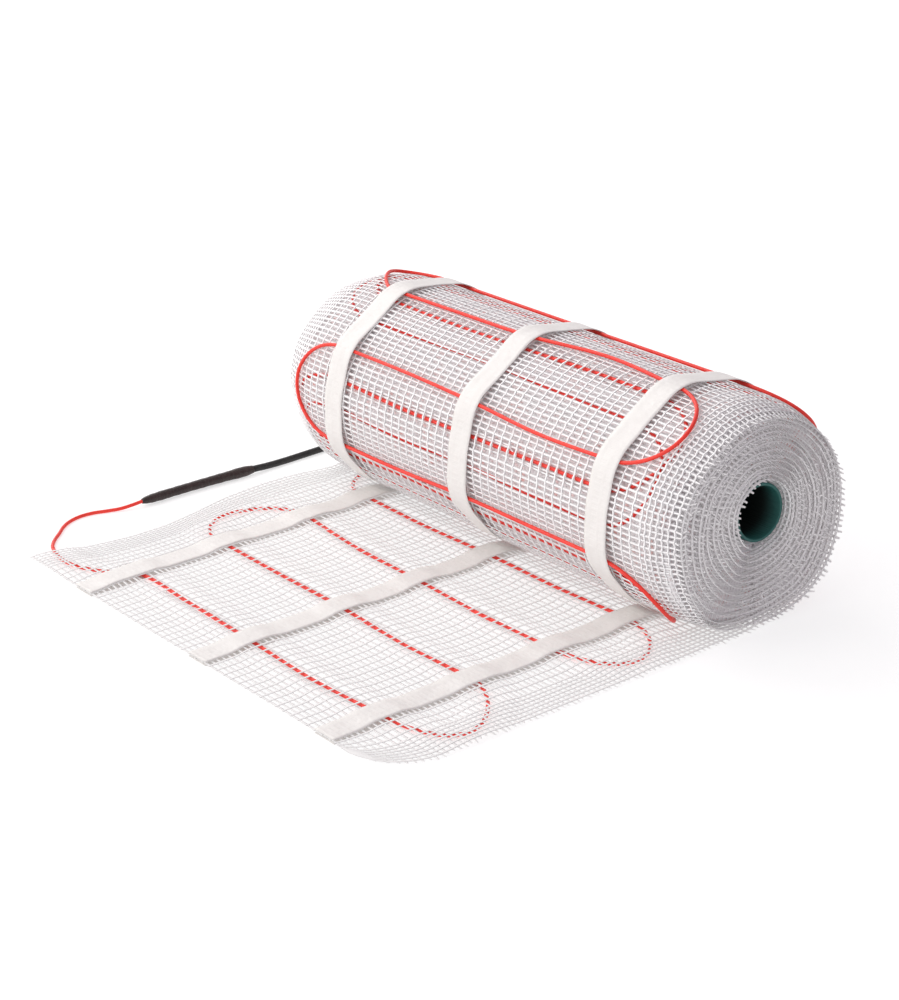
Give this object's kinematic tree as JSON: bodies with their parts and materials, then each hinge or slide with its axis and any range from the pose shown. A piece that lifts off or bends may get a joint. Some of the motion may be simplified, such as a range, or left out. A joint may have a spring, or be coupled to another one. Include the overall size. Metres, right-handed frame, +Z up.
{
  "type": "underfloor heating mat",
  "caption": "Electric underfloor heating mat, part unrolled: a serpentine heating cable taped to an open mesh, wound on a core tube, with a spliced supply lead.",
  "frame": {"origin": "middle of the mat's own box, on the floor under it, without the free cord", "axes": "+X along the roll's axis, away from the supply lead; -Y the way the free end runs from the roll; +Z up"},
  "size_m": [0.551, 0.5345, 0.1756],
  "materials": {
    "glass_fibre_mesh": "coated white glass-fibre net",
    "white_tape": "smooth adhesive tape",
    "red_cable": "satin sheath",
    "shrink_sleeve": "shrunk tubing",
    "black_lead": "satin sheath",
    "core_green": "extruded tube",
    "wire_brown": "insulation",
    "wire_green": "insulation",
    "wire_blue": "insulation"
  },
  "bodies": {
    "root": {"mesh_mat": "glass_fibre_mesh", "core_tube": "core_green", "fixing_tape_left": "white_tape", "fixing_tape_centre": "white_tape", "fixing_tape_right": "white_tape", "backing_tape_left": "white_tape", "backing_tape_centre": "white_tape", "backing_tape_right": "white_tape", "heating_cable": "red_cable", "cable_free_stretch": "red_cable", "splice_sleeve": "shrink_sleeve", "supply_lead": "black_lead", "supply_coil": "black_lead", "supply_lead_end": "black_lead", "wire_brown": "wire_brown", "wire_earth": "wire_green", "wire_blue": "wire_blue"}
  },
  "joints": []
}
